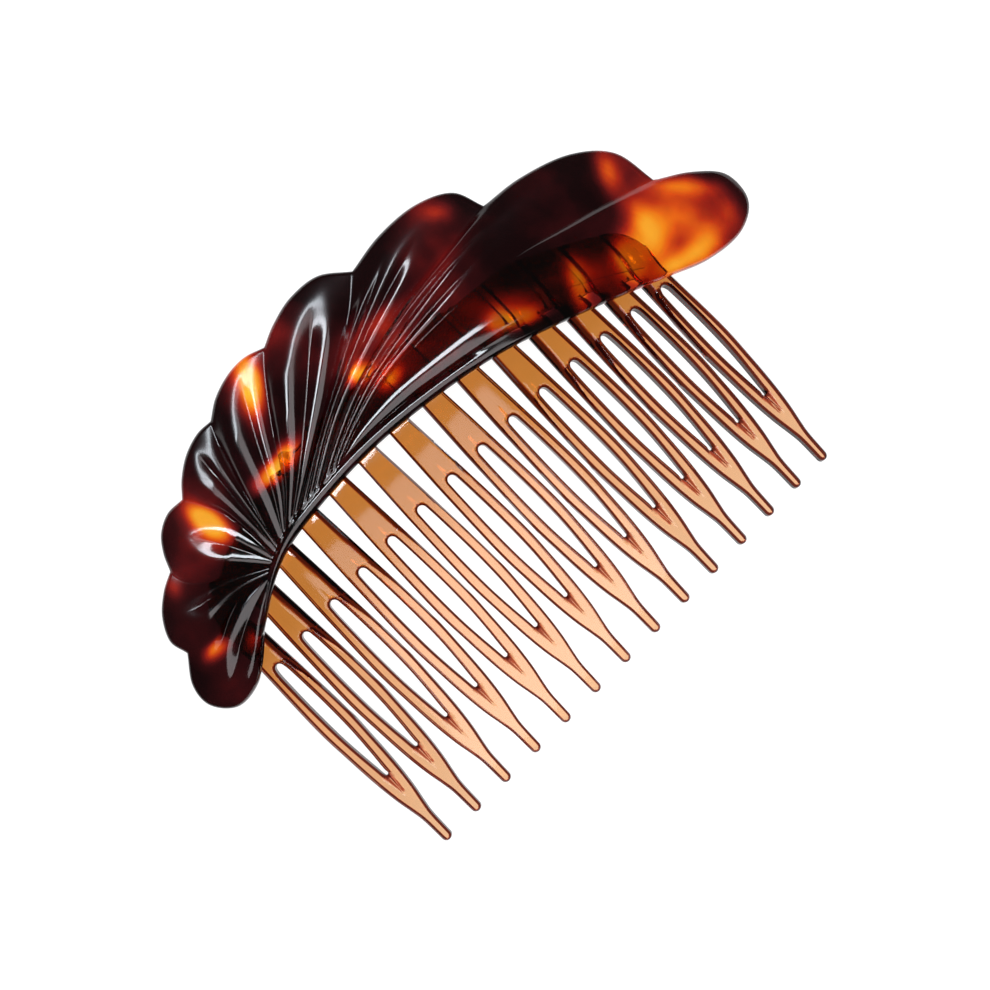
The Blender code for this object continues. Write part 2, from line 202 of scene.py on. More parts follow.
# Outline: slightly rounded on top, lifted at the back, the lobes swelling up from it
OUTLINE_HEIGHT = 1.0
OUTLINE_ROUNDING = 0.45
PILLOW_START = 0.4
PILLOW_REACH = 5.0
BACK_EDGE_LIFT = 0.5
BACK_EDGE_ROUNDING = 0.7
FIT_SCALE = 0.996
ORNAMENT_SHARP_ANGLE = 80
# Surface haze at the crest and elsewhere, how far it reaches in, and where it starts
EDGE_HAZE = (0.2, 0.08)
EDGE_HAZE_REACH = (2.0, 9.0)
EDGE_HAZE_RISE = (6.0, 12.0)
# Spacing of the ornament's mesh
COLUMNS = 50
ROWS = 60
EDGE_ROWS = (0.0, 0.0008, 0.0024, 0.006, 0.012, 0.02, 0.03, 0.042)
RIM_ROWS = (0.0, 0.008, 0.025, 0.06, 0.11, 0.18, 0.27, 0.37, 0.48, 0.6, 0.72, 0.82, 0.9, 0.96, 1.0)
RIM_LINE_POINTS = (40, 60)

# Clear windows in the tortoiseshell: (s, y, half length, half width, turn in degrees, clearness)
WINDOW_FADE = 0.9
WINDOWS = (
    (-43.1, -4.1, 2.1, 1.1, -2, 0.65), (-38.1, -6.6, 1.9, 1.1, 32, 0.5),
    (-41.1, 6.4, 1.9, 1.3, 70, 0.3), (-31.2, 9.4, 3.0, 1.3, -77, 1.0),
    (-32.1, 8.3, 4.2, 2.2, -70, 0.3), (-20.6, 7.8, 2.8, 1.5, -1, 0.9),
    (-16.9, 8.2, 2.5, 1.5, 12, 0.8), (-13.5, 19.0, 3.2, 1.5, 58, 1.0),
    (-16.2, 16.3, 4.6, 2.0, 70, 0.35), (5.8, 12.3, 5.4, 1.9, -8, 0.3),
    (-2.0, 9.2, 1.5, 1.1, -2, 0.75), (0.7, 5.2, 1.7, 1.0, 4, 0.6),
    (-0.1, 7.3, 3.9, 2.0, 7, 0.22), (21.9, 17.5, 2.6, 1.3, -34, 0.3),
    (21.2, 15.4, 5.1, 3.1, 1, 0.12), (17.2, 11.9, 4.1, 1.1, 8, 0.15),
    (16.5, 0.6, 1.6, 1.3, -3, 0.55), (44.5, 5.1, 3.0, 1.7, 56, 0.5),
    (44.1, 6.0, 6.1, 3.1, -37, 0.2), (42.1, -5.5, 4.7, 2.1, 74, 0.7),
    (51.7, -4.2, 4.5, 1.5, -42, 0.5), (48.2, -12.1, 3.8, 1.8, -4, 0.35),
    (42.2, -11.4, 4.1, 1.4, -14, 0.7), (54.5, -10.8, 3.1, 1.7, 80, 0.3),
    (47.0, -7.0, 7.0, 4.2, -30, 0.5), (28.7, -3.7, 3.0, 1.1, 59, 0.85),
    (30.9, -2.1, 3.0, 2.0, -57, 0.35), (37.2, -6.2, 2.8, 2.0, 71, 1.0),
    (19.7, -1.5, 3.4, 1.3, -26, 1.0), (21.0, 0.3, 6.3, 2.1, -20, 0.4),
)

# Clouds in the tortoiseshell
CLOUD_SCALE = 75.0
CLOUD_LEVEL = 0.47
CLOUD_STRENGTH = 1.2

# Camera: where it aims, in millimetres, and the directions back to it and to its right
CAMERA_AIM = (-4.91, -3.82, 12.08)
CAMERA_BACK = (-0.14118, 0.18202, 0.97311)
CAMERA_RIGHT = (0.70048, -0.67624, 0.22811)
CAMERA_DISTANCE = 600.0
CAMERA_SENSOR = 36.0
PICTURE_WIDTH = 138.98

# Table
TABLE_HALF_WIDTH = 1.5
TABLE_DROP = 0.0002

# Lamps: name, angles along and across, spreads along and across, radiance, colour
LAMP_DISTANCE = 1.0
SOFT_BOXES = (
    ("wide_box", 3.5, -18.0, 40.0, 28.0, 3.2, (1.0, 0.95, 0.97)),
    ("bright_strip", 8.0, 5.0, 38.0, 7.0, 22.0, (0.86, 0.93, 1.0)),
)


def arch_y(s, radius):
    """Height of the arc of this radius about the arch's centre, at station s."""
    return ARCH_CENTRE[1] + math.sqrt(radius**2 - (s - ARCH_CENTRE[0]) ** 2)


def smooth_curve(points, per_span):
    """Catmull-Rom curve through the points, with per_span steps between each two."""
    knots = [np.array(p, dtype=float) for p in points]
    knots = [2 * knots[0] - knots[1]] + knots + [2 * knots[-1] - knots[-2]]
    curve = []
    for before, start, end, after in zip(knots, knots[1:], knots[2:], knots[3:]):
        for step in range(per_span):
            t = step / per_span
            linear = (end - before) * t
            square = (2 * before - 5 * start + 4 * end - after) * t**2
            cube = (3 * start - before - 3 * end + after) * t**3
            curve.append(start + 0.5 * (linear + square + cube))
    curve.append(knots[-2])
    return np.array(curve)


def resample(curve, fractions):
    """Points at these fractions of the curve's length."""
    steps = np.linalg.norm(np.diff(curve, axis=0), axis=1)
    along = np.concatenate(([0.0], np.cumsum(steps)))
    along /= along[-1]
    return np.column_stack([np.interp(fractions, along, curve[:, axis]) for axis in (0, 1)])


def smoothstep(value, low, high):
    """Smooth rise from 0 at low to 1 at high."""
    t = np.clip((value - low) / (high - low), 0.0, 1.0)
    return t * t * (3.0 - 2.0 * t)


def lay_down(points):
    """World positions in metres of (s, y, h) points of the flat drawing."""
    s, y, h = np.array(points, dtype=float).T
    angle = (s - BOW_APEX_S) / BOW_RADIUS
    reach = np.maximum(0.0, TOOTH_BOW_START_Y - y)
    x = (BOW_RADIUS + h) * np.sin(angle)
    z = (BOW_RADIUS + h) * np.cos(angle) - BOW_RADIUS - reach**2 / (2 * TOOTH_BOW_RADIUS)
    y, z = (y * math.cos(REST_TILT) - z * math.sin(REST_TILT),
            y * math.sin(REST_TILT) + z * math.cos(REST_TILT))
    x, z = (x * math.cos(REST_ROLL) + z * math.sin(REST_ROLL),
            z * math.cos(REST_ROLL) - x * math.sin(REST_ROLL))
    return (np.column_stack([x, y, z]) + REST_SHIFT) * MM


def distance_to_edges(points, edges):
    """Distance from each flat point to the nearest of these segments, (n, 2, 2)."""
    pieces = []
    for start, end in edges:
        cuts = np.linspace(0.0, 1.0, 2 + int(np.linalg.norm(end - start) / EDGE_PIECE))[:, None]
        stops = start + cuts * (end - start)
        pieces.append(np.stack([stops[:-1], stops[1:]], axis=1))
    edges = np.concatenate(pieces)
    tree = KDTree(len(edges))
    for row, middle in enumerate(edges.mean(axis=1)):
        tree.insert((*middle, 0.0), row)
    tree.balance()
    near = [[row for place, row, gap in tree.find_n((*point, 0.0), NEAREST_EDGES)] for point in points]
    start = edges[near, 0]
    along = edges[near, 1] - start
    offset = points[:, None] - start
    length = np.maximum((along**2).sum(axis=2), 1e-12)
    t = np.clip((offset * along).sum(axis=2) / length, 0.0, 1.0)
    return np.linalg.norm(offset - t[..., None] * along, axis=2).min(axis=1)


def softened(distance, radius):
    """Rise from 0 at the edge to 1 at this radius inside it, sloping where it starts."""
    return 1.0 - (1.0 - np.minimum(distance / radius, 1.0)) ** 2


def rounded(distance, radius):
    """Quarter-ellipse rise from 0 at the edge to 1 at this radius inside it."""
    t = 1.0 - np.minimum(distance / radius, 1.0)
    return np.sqrt(np.maximum(0.0, 1.0 - t * t))


def new_object(name, mesh, material, sharp_angle):
    """Object with this mesh, smooth but for edges sharper than this angle in degrees."""
    mesh.materials.append(material)
    piece = bpy.data.objects.new(name, mesh)
    bpy.context.scene.collection.objects.link(piece)
    mesh.shade_smooth()
    mesh.set_sharp_from_angle(angle=math.radians(sharp_angle))
    return piece


def flat_mesh(patches):
    """One flat bmesh from grids of (s, y) points, welded where they meet."""
    flat = bmesh.new()
    for grid in patches:
        rows, columns = grid.shape[:2]
        verts = [[flat.verts.new((*grid[r, c], 0.0)) for c in range(columns)] for r in range(rows)]
        for r in range(rows - 1):
            for c in range(columns - 1):
                flat.faces.new((verts[r][c], verts[r][c + 1], verts[r + 1][c + 1], verts[r + 1][c]))
    bmesh.ops.remove_doubles(flat, verts=flat.verts, dist=WELD_DISTANCE)
    bmesh.ops.dissolve_degenerate(flat, edges=flat.edges, dist=LEAST_EDGE)
    bmesh.ops.recalc_face_normals(flat, faces=flat.faces)
    flat.normal_update()
    if sum(face.normal.z for face in flat.faces) < 0:
        bmesh.ops.reverse_faces(flat, faces=flat.faces)
    flat.verts.index_update()
    return flat


# Comb ----------------------------------------------------------------------------------

def slot_top_y(centre_s):
    """Height of the top of the slot in the tooth at centre_s."""
    return SLOT_TOP_Y - SLOT_TOP_SAG * (centre_s - SLOT_TOP_APEX_S) ** 2


def width_curve(stations, y):
    """Half width at y on the smooth curve through these (y, half width) stations."""
    curve = smooth_curve(stations, TOOTH_CURVE_STEPS)[::-1]
    return float(np.interp(y, curve[:, 0], curve[:, 1]))


def outer_half_width(y, slot_top):
    """Half width of a tooth at y, round at its tip."""
    below = TIP_RADIUS - (y - TIP_Y)
    if below > 0.0:
        return math.sqrt(max(0.0, TIP_RADIUS**2 - below**2))
    shoulder = (slot_top, SHOULDER_HALF_WIDTH)
    return width_curve(ROOT_FLANK + (shoulder,) + FLANK + ((TIP_Y + TIP_RADIUS, TIP_RADIUS),), y)


def slot_half_width(y, slot_top):
    """Half width of a tooth's slot at y, round at both ends."""
    if not SLOT_BOTTOM_Y < y < slot_top:
        return 0.0
    crown = (slot_top - SLOT_TOP_RADIUS, SLOT_CROWN_HALF_WIDTH)
    half = width_curve((crown,) + SLOT + ((SLOT_BOTTOM_Y, SLOT_BOTTOM_RADIUS),), y)
    for depth, radius in ((slot_top - y, SLOT_TOP_RADIUS), (y - SLOT_BOTTOM_Y, SLOT_BOTTOM_RADIUS)):
        if depth < radius:
            half *= math.sqrt(1.0 - (1.0 - depth / radius) ** 2)
    return half


def tooth_root(centre_s):
    """Half width of a tooth where it leaves the spine, and the height just below that."""
    half = outer_half_width(arch_y(centre_s, SPINE_INNER_RADIUS), slot_top_y(centre_s))
    lowest = min(arch_y(centre_s - half, SPINE_INNER_RADIUS), arch_y(centre_s + half, SPINE_INNER_RADIUS))
    return half, lowest - ROOT_DROP


def tooth_columns(half_width):
    """Shares across half a tooth, close together at both of its edges."""
    rim = np.array(EDGE_STEPS) * min(1.0, half_width / (EDGE_STEPS_SHARE * EDGE_STEPS[-1]))
    middle = np.linspace(rim[-1], half_width - rim[-1], MIDDLE_COLUMNS + 2)[1:-1]
    return np.concatenate((rim, middle, half_width - rim[::-1])) / max(half_width, 1e-9)


def tooth_stations(root_y, slot_top):
    """Stations down a tooth, close together at the ends of the slot and at the tip."""
    turn = 1.0 - np.cos(np.linspace(0.0, math.pi / 2, TURN_STEPS))
    shank_end = [slot_top + step for step in SHANK_END_STEPS]
    return np.concatenate((
        np.linspace(root_y, shank_end[0], SHANK_STEPS),
        shank_end[1:],
        slot_top - SLOT_TOP_RADIUS * turn,
        np.linspace(slot_top - LEG_MARGINS[0], SLOT_BOTTOM_Y + LEG_MARGINS[1], LEG_STEPS),
        SLOT_BOTTOM_Y + SLOT_BOTTOM_RADIUS * turn[::-1],
        np.linspace(SLOT_BOTTOM_Y - NECK_MARGINS[0], TIP_Y + NECK_MARGINS[1], LEG_STEPS),
        TIP_Y + TIP_RADIUS * turn[::-1],
    ))


def tooth_centre(index):
    return (index - (TOOTH_COUNT - 1) / 2) * TOOTH_PITCH


def tooth_patches(centre_s):
    """Flat grids of the two halves of the tooth at centre_s, from the spine to the tip."""
    slot_top = slot_top_y(centre_s)
    root_width, root_y = tooth_root(centre_s)
    halves = []
    for side in (-1.0, 1.0):
        across = centre_s + side * root_width * tooth_columns(root_width)
        rows = [[(s, arch_y(s, SPINE_INNER_RADIUS)) for s in across]]
        for y in tooth_stations(root_y, slot_top):
            outer, inner = outer_half_width(y, slot_top), slot_half_width(y, slot_top)
            lean = TOOTH_LEAN * max(0.0, SLOT_TOP_Y - y)
            stretch = inner + tooth_columns(outer - inner) * (outer - inner)
            rows.append([(centre_s + lean + side * offset, y) for offset in stretch])
        halves.append(np.array(rows))
    return halves


def spine_columns():
    """Stations along the spine: its ends, the columns of each tooth and those between teeth."""
    centres = [tooth_centre(index) for index in range(TOOTH_COUNT)]
    widths = [tooth_root(centre)[0] for centre in centres]
    columns = []
    for index, (centre, width) in enumerate(zip(centres, widths)):
        shares = tooth_columns(width)
        columns += [centre - u * width for u in shares[::-1]]
        columns += [centre + u * width for u in shares[1:]]
        if index < TOOTH_COUNT - 1:
            gap = TOOTH_PITCH - width - widths[index + 1]
            columns += [centre + width + gap * t for t in SPINE_GAP_STEPS]
    left = [SPINE_ENDS_S[0] + step for step in SPINE_END_STEPS]
    right = [SPINE_ENDS_S[1] - step for step in SPINE_END_STEPS[::-1]]
    return [s for s in left if s < columns[0]] + columns + [s for s in right if s > columns[-1]]


def spine_patch():
    """Flat grid of the spine, round at its upper corners; its columns meet those of the teeth."""
    grid = []
    for share in SPINE_ROWS:
        row = []
        for s in spine_columns():
            inset = min(s - SPINE_ENDS_S[0], SPINE_ENDS_S[1] - s)
            short = max(0.0, SPINE_CORNER - inset)
            pinch = SPINE_CORNER - math.sqrt(max(0.0, SPINE_CORNER**2 - short**2))
            low = arch_y(s, SPINE_INNER_RADIUS)
            high = arch_y(s, SPINE_OUTER_RADIUS) - pinch
            row.append((s, low + share * (high - low)))
        grid.append(row)
    return np.array(grid)


def spine_edge_y(points):
    """Height of the spine's lower edge at the station of each point."""
    return ARCH_CENTRE[1] + np.sqrt(SPINE_INNER_RADIUS**2 - (points[:, 0] - ARCH_CENTRE[0]) ** 2)


def across_tooth(points):
    """Distance of each point from the middle line of its tooth, positive to the right."""
    s = points[:, 0] - TOOTH_LEAN * np.maximum(0.0, SLOT_TOP_Y - points[:, 1])
    place = s / TOOTH_PITCH + TOOTH_COUNT / 2
    return (place - np.floor(place) - 0.5) * TOOTH_PITCH


def wide_bevel(points):
    """How deep each point is in the wide bevel: 0 on the flat face, 1 at the edge."""
    across = across_tooth(points)
    flank = (FLANK[0], (SLOT_TOP_Y, SHOULDER_HALF_WIDTH)) + ROOT_FLANK[::-1]
    flank_y, flank_width = np.array(flank).T
    inside = np.interp(points[:, 1], flank_y, flank_width) - np.abs(across)
    from_middle = np.clip(np.abs(points[:, 0] - MIDDLE_S) / WIDE_BEVEL_REACH, WIDE_BEVEL_LEAST, 1.0)
    width = WIDE_BEVEL_WIDTH * from_middle * smoothstep(points[:, 1], *WIDE_BEVEL_Y)
    faces_middle = across * (MIDDLE_S - points[:, 0]) > 0.0
    return faces_middle * np.clip(1.0 - inside / np.maximum(width, 1e-6), 0.0, 1.0)


def comb_half_height(points, edge_distance):
    """Half thickness of the comb at each flat point."""
    y = points[:, 1]
    share = np.clip(y / TIP_Y, 0.0, 1.0)
    half = (TOOTH_THICKNESS + share * (TIP_THICKNESS - TOOTH_THICKNESS)) / 2
    arch = spine_edge_y(points)
    half = half + (SPINE_THICKNESS / 2 - half) * smoothstep(y, arch - ROOT_BLEND, arch)
    size = 1.0 + share * (TIP_CHAMFER_SHARE - 1.0)
    corner = np.clip(1.0 - edge_distance / (CHAMFER_WIDTH * size), 0.0, 1.0)
    chamfer = CHAMFER_DROP * size * corner**CHAMFER_POWER
    return half - np.maximum(chamfer, WIDE_BEVEL_DROP * wide_bevel(points))


def groove_place(points):
    """How far across (0 middle, 1 lip) and how full each point is in the groove below its slot."""
    down = (SLOT_BOTTOM_Y - points[:, 1]) / GROOVE_LENGTH
    taper = np.clip(1.0 - down, 0.0, 1.0) * (down > -GROOVE_START)
    across = np.abs(across_tooth(points))
    return np.minimum(across / np.maximum(GROOVE_HALF_WIDTH * taper, 1e-6), 1.0), taper


def groove(points):
    """Depth of the tapering groove below each slot, on the face of the comb."""
    across, taper = groove_place(points)
    return GROOVE_DEPTH * taper * (1.0 - across)


def groove_shade(points):
    """Painted shade on the groove's two sloping sides, 0 to 1."""
    across, taper = groove_place(points)
    return np.where(taper > 0.0, 4.0 * across * (1.0 - across), 0.0) * GROOVE_SHADE


def wall_painted_shade(points, edge_distance):
    """Painted shade along the comb's walls, bevels and grooves, 0 to 1."""
    edge = 1.0 - smoothstep(edge_distance, WALL_SHADE_WIDTH - WALL_SHADE_FADE, WALL_SHADE_WIDTH)
    bevel = smoothstep(wide_bevel(points), 0.0, WALL_SHADE_BEVEL_SHARE)
    painted_shade = np.maximum(np.maximum(edge, bevel), groove_shade(points))
    return painted_shade * smoothstep(spine_edge_y(points) - points[:, 1], 0.0, WALL_SHADE_ROOT_FADE)


def close_up(flat, top_heights, bottom_heights):
    """Mesh data of the solid between two heights over a flat mesh."""
    flat.verts.ensure_lookup_table()
    points = np.array([vertex.co[:2] for vertex in flat.verts])
    count = len(points)
    top = np.column_stack([points, top_heights])
    bottom = np.column_stack([points, bottom_heights])
    faces = []
    for face in flat.faces:
        loop = [vertex.index for vertex in face.verts]
        faces.append(loop)
        faces.append([index + count for index in reversed(loop)])
    for edge in flat.edges:
        if len(edge.link_faces) == 1:
            loop = edge.link_loops[0]
            start, end = loop.vert.index, loop.link_loop_next.vert.index
            faces.append([end, start, start + count, end + count])
    return np.vstack([top, bottom]), faces


def boundary_edges(flat):
    """The outline's segments, as (n, 2, 2)."""
    return np.array([[edge.verts[0].co[:2], edge.verts[1].co[:2]]
                     for edge in flat.edges if len(edge.link_faces) == 1])


def flat_points(flat):
    return np.array([vertex.co[:2] for vertex in flat.verts])


def laid_mesh(name, solid, faces, values):
    """Mesh of a flat drawing's solid, laid down, with these values on its points."""
    mesh = bpy.data.meshes.new(name)
    mesh.from_pydata(lay_down(solid).tolist(), [], faces)
    for attribute, row in values.items():
        mesh.attributes.new(attribute, "FLOAT", "POINT").data.foreach_set("value", np.tile(row, 2))
    mesh.validate()
    return mesh


def make_comb(material):
    """The whole comb, spine and teeth in one piece."""
    patches = [spine_patch()]
    for index in range(TOOTH_COUNT):
        patches += tooth_patches(tooth_centre(index))
    flat = flat_mesh(patches)
    points = flat_points(flat)
    distance = distance_to_edges(points, boundary_edges(flat))
    half = comb_half_height(points, distance)
    solid, faces = close_up(flat, half - groove(points), -half)
    flat.free()
    # Painted shade along the walls, bevels and grooves, carried to the material as a point value
    mesh = laid_mesh("comb", solid, faces, {
        "wall_painted_shade": wall_painted_shade(points, distance),
        # Painted shade towards the spine, under the ornament
        "spine_painted_shade": smoothstep(points[:, 1], *SPINE_SHADE_Y),
    })
    return new_object("comb", mesh, material, COMB_SHARP_ANGLE)


# Ornament ------------------------------------------------------------------------------

LOWER_CURVE = smooth_curve(LOWER_EDGE, CURVE_STEPS)


def lower_edge_y(s):
    return np.interp(s, LOWER_CURVE[:, 0], LOWER_CURVE[:, 1])


def rim_inner_line(s):
    """Point on the inner edge of the rim, which narrows to nothing at both ends."""
    start, end = LOWER_EDGE[0][0], LOWER_EDGE[-1][0]
    share = (s - start) / (end - start)
    return (s, lower_edge_y(s) + RIM_WIDTH * min(1.0, RIM_TAPER * min(share, 1.0 - share)))


def rim_stretch(start_s, end_s, count):
    return np.array([rim_inner_line(s) for s in np.linspace(start_s, end_s, count)])


def valley_line(index, fractions):
    """Points down a valley, from its notch to its foot on the rim."""
    route = VALLEYS[index] + (rim_inner_line(VALLEY_FEET_S[index]),)
    return resample(smooth_curve(route, CURVE_STEPS), fractions)


def lobe_borders(index, fractions):
    """Left border, right border and foot of a lobe; each border runs from edge to foot."""
    last = len(LOBES) - 1
    foot_start = VALLEY_FEET_S[index - 1] if index > 0 else FIRST_FOOT_S
    foot_end = VALLEY_FEET_S[index] if index < last else FINGER_FOOT_S
    if index > 0:
        left = valley_line(index - 1, fractions)
    else:
        left = resample(rim_stretch(LOWER_EDGE[0][0], FIRST_FOOT_S, RIM_LINE_POINTS[0]), fractions)
    if index < last:
        right = valley_line(index, fractions)
    else:
        right = resample(rim_stretch(LOWER_EDGE[-1][0], FINGER_FOOT_S, RIM_LINE_POINTS[1]), fractions)
    return left, right, rim_stretch(foot_start, foot_end, COLUMNS + 1)


def lobe_grid(index, along):
    """Coons patch of a lobe: rows from the outer edge to the foot, columns left to right."""
    across = np.linspace(0.0, 1.0, COLUMNS + 1)
    edge = resample(smooth_curve(LOBES[index], CURVE_STEPS), across)
    left, right, foot = lobe_borders(index, along)
    b = along[:, None, None]
    a = across[None, :, None]
    ruled = (1 - b) * edge[None] + b * foot[None] + (1 - a) * left[:, None] + a * right[:, None]
    corners = (1 - b) * ((1 - a) * edge[0] + a * edge[-1]) + b * ((1 - a) * foot[0] + a * foot[-1])
    return ruled - corners


def dome(t, power):
    """Rounded hump over 0 to 1, fuller with a smaller power."""
    return np.sin(math.pi * np.clip(t, 0.0, 1.0)) ** power


def crest_rise(widths):
    """Height of a hump of this width, up to the highest that the relief has."""
    return np.minimum(CREST_RISE, RIB_RISE_PER_WIDTH * widths)


def lobe_relief(index, grid, along):
    """Height of a lobe's relief: a pillow near its edge that parts into ribs down to its foot."""
    across = np.linspace(0.0, 1.0, COLUMNS + 1)[None, :]
    b = along[:, None]
    widths = np.linalg.norm(np.diff(grid, axis=1), axis=2).sum(axis=1)[:, None]
    pillow = crest_rise(widths) * dome(across, PILLOW_DOME)
    partings, start, end = RIBS[index]
    ribs = np.zeros_like(pillow)
    for low, high in zip(partings, partings[1:]):
        hump = crest_rise(widths * (high - low)) * dome((across - low) / (high - low), 1.0)
        ribs = ribs + np.where((across >= low) & (across <= high), hump, 0.0)
    parted = LIFT_SHARE * pillow + RIB_SHARE * ribs
    share = smoothstep(b, start, end)
    floor = VALLEY_HEIGHT + (FOOT_HEIGHT - VALLEY_HEIGHT) * b
    return floor + (1.0 - CREST_FALL * b**2) * ((1 - share) * pillow + share * parted)


def rim_opening(s):
    """How far the rim has melted into the last lobe at station s, 0 to 1."""
    return smoothstep(s, *OPEN_RIM_S)


def lobe_patches(along):
    """Flat grids and reliefs of the lobes; the first and last are levelled beside the rim."""
    across = np.linspace(0.0, 1.0, COLUMNS + 1)[None, :]
    grids = [lobe_grid(index, along) for index in range(len(LOBES))]
    reliefs = [lobe_relief(index, grid, along) for index, grid in enumerate(grids)]
    inside = smoothstep(across, 0.0, FIRST_EDGE_BLEND)
    reliefs[0] = reliefs[0] * inside + FIRST_EDGE_HEIGHT * (1 - inside)
    beside = 1 - smoothstep(1.0 - across, 0.0, OPEN_RIM_BLEND)
    share = OPEN_RIM_SHARE * beside * rim_opening(grids[-1][:, -1, 0])[:, None]
    reliefs[-1] = reliefs[-1] + share * (OPEN_RIM_HEIGHT - reliefs[-1])
    return grids, reliefs


def rim_patch(grids, reliefs):
    """Flat grid and relief of the rim, from the ends of the lobes down to the lower edge."""
    inner = np.vstack([grids[0][:, 0]] + [grid[-1] for grid in grids] + [grids[-1][::-1, -1]])
    inner_height = np.concatenate([reliefs[0][:, 0]] + [relief[-1] for relief in reliefs]
                                  + [reliefs[-1][::-1, -1]])
    s, inner_y = inner.T
    lower_y = lower_edge_y(s)
    opening = rim_opening(s)
    edge_height = FOOT_HEIGHT + opening * (inner_height - FOOT_HEIGHT)
    roll = (1.0 - opening) * (RIM_CREST - FOOT_HEIGHT) * np.minimum(1.0, (inner_y - lower_y) / RIM_WIDTH)
    grid, relief = [], []
    for share in RIM_ROWS[::-1]:
        grid.append(np.column_stack([s, (1 - share) * lower_y + share * inner_y]))
        level = edge_height + (inner_height - edge_height) * smoothstep(share, RIM_INNER_SHARE, 1.0)
        relief.append(level + roll * dome(RIM_DOME_START + (1.0 - RIM_DOME_START) * share, RIM_DOME))
    return np.array(grid), np.array(relief)


def heights_at(points, grids, reliefs):
    """Relief at each flat point, which is that of the grid point it came from."""
    known = np.vstack([grid.reshape(-1, 2) for grid in grids])
    relief = np.concatenate([block.reshape(-1) for block in reliefs])
    lookup = {}
    for place, height in zip(np.round(known, 3).tolist(), relief):
        lookup.setdefault(tuple(place), height)
    heights = []
    for point, place in zip(points, np.round(points, 3).tolist()):
        height = lookup.get(tuple(place))
        if height is None:
            height = relief[np.abs(known - point).sum(axis=1).argmin()]
        heights.append(height)
    return np.array(heights)


def ornament_top(relief, distance):
    """Relief with the lobes swelling up from the outline and the outline rounded."""
    swell = PILLOW_START + (1.0 - PILLOW_START) * softened(distance, PILLOW_REACH)
    relief = np.where(relief > VALLEY_HEIGHT, VALLEY_HEIGHT + (relief - VALLEY_HEIGHT) * swell, relief)
    return OUTLINE_HEIGHT + (relief - OUTLINE_HEIGHT) * rounded(distance, OUTLINE_ROUNDING)


def surface_haze(points, distance):
    """Roughness of the polish, a little more along the crest than elsewhere."""
    rise = points[:, 1] - lower_edge_y(points[:, 0])
    near_crest = (1.0 - smoothstep(distance, *EDGE_HAZE_REACH)) * smoothstep(rise, *EDGE_HAZE_RISE)
    return EDGE_HAZE[1] + (EDGE_HAZE[0] - EDGE_HAZE[1]) * near_crest


def clearness(points):
    """How clear the tortoiseshell is at each flat point: 0 dark, 1 amber."""
    s, y = points.T
    total = np.zeros(len(points))
    for centre_s, centre_y, half_length, half_width, turn, strength in WINDOWS:
        turn = math.radians(turn)
        u = (s - centre_s) * math.cos(turn) + (y - centre_y) * math.sin(turn)
        v = (y - centre_y) * math.cos(turn) - (s - centre_s) * math.sin(turn)
        total += strength * np.exp(-((u / half_length) ** 2 + (v / half_width) ** 2) * WINDOW_FADE)
    return total


def make_ornament(material):
    """The ornament: nine lobes and their rim in one piece, with a plain back."""
    along = np.concatenate((EDGE_ROWS, np.linspace(EDGE_ROWS[-1], 1.0, ROWS + 1)[1:]))
    grids, reliefs = lobe_patches(along)
    rim, rim_relief = rim_patch(grids, reliefs)
    grids.append(rim)
    reliefs.append(rim_relief)
    flat = flat_mesh(grids)
    points = flat_points(flat)
    distance = distance_to_edges(points, boundary_edges(flat))
    top = ornament_top(heights_at(points, grids, reliefs), distance)
    back = BACK_EDGE_LIFT * (1.0 - rounded(distance, BACK_EDGE_ROUNDING))
    solid, faces = close_up(flat, ORNAMENT_BACK + top, ORNAMENT_BACK + back)
    flat.free()
    middle = (BOW_APEX_S, 0.0, 0.0)
    fitted = (solid - middle) * (FIT_SCALE, FIT_SCALE, 1.0) + middle
    mesh = laid_mesh("ornament", fitted, faces, {
        "clearness": clearness(points),
        "surface_haze": surface_haze(points, distance),
    })
    return new_object("shell_ornament", mesh, material, ORNAMENT_SHARP_ANGLE)


# Materials -----------------------------------------------------------------------------

class Nodes:
    """Short way to add and join shader nodes."""

    def __init__(self, name):
        self.material = bpy.data.materials.new(name)
        self.material.use_nodes = True
        self.tree = self.material.node_tree
        self.shader = self.tree.nodes["Principled BSDF"]
        self.output = self.tree.nodes["Material Output"]

    def add(self, kind, **settings):
        node = self.tree.nodes.new(kind)
        for key, value in settings.items():
            if key in node.inputs:
                node.inputs[key].default_value = value
            else:
                setattr(node, key, value)
        return node

    def join(self, source, target):
        self.tree.links.new(source, target)

    def surface(self, values):
        """Set these sockets of the shader."""
        for socket, value in values.items():
            self.shader.inputs[socket].default_value = value

    def attribute(self, name):
        return self.add("ShaderNodeAttribute", attribute_name=name).outputs["Fac"]

    def noise(self, scale, detail):
        """Noise fixed to the object."""
        node = self.add("ShaderNodeTexNoise", Scale=scale, Detail=detail)
        self.join(self.add("ShaderNodeTexCoord").outputs["Object"], node.inputs["Vector"])
        return node.outputs["Fac"]

    def uneven_roughness(self, scale, detail, least, most):
        """Roughness that noise varies between least and most."""
        spread = self.add("ShaderNodeMapRange")
        spread.inputs["To Min"].default_value = least
        spread.inputs["To Max"].default_value = most
        self.join(self.noise(scale, detail), spread.inputs["Value"])
        self.join(spread.outputs[0], self.shader.inputs["Roughness"])

    def math(self, operation, first, second):
        node = self.add("ShaderNodeMath", operation=operation)
        for socket, value in zip(node.inputs, (first, second)):
            if isinstance(value, (int, float)):
                socket.default_value = value
            else:
                self.join(value, socket)
        return node.outputs[0]

    def ramp(self, stops):
        """Colour ramp through these (position, colour) stops, first and last at its ends."""
        node = self.add("ShaderNodeValToRGB")
        elements = node.color_ramp.elements
        elements[1].position = stops[-1][0]
        elements[1].color = (*stops[-1][1], 1.0)
        elements[0].color = (*stops[0][1], 1.0)
        for position, colour in stops[1:-1]:
            elements.new(position).color = (*colour, 1.0)
        return node


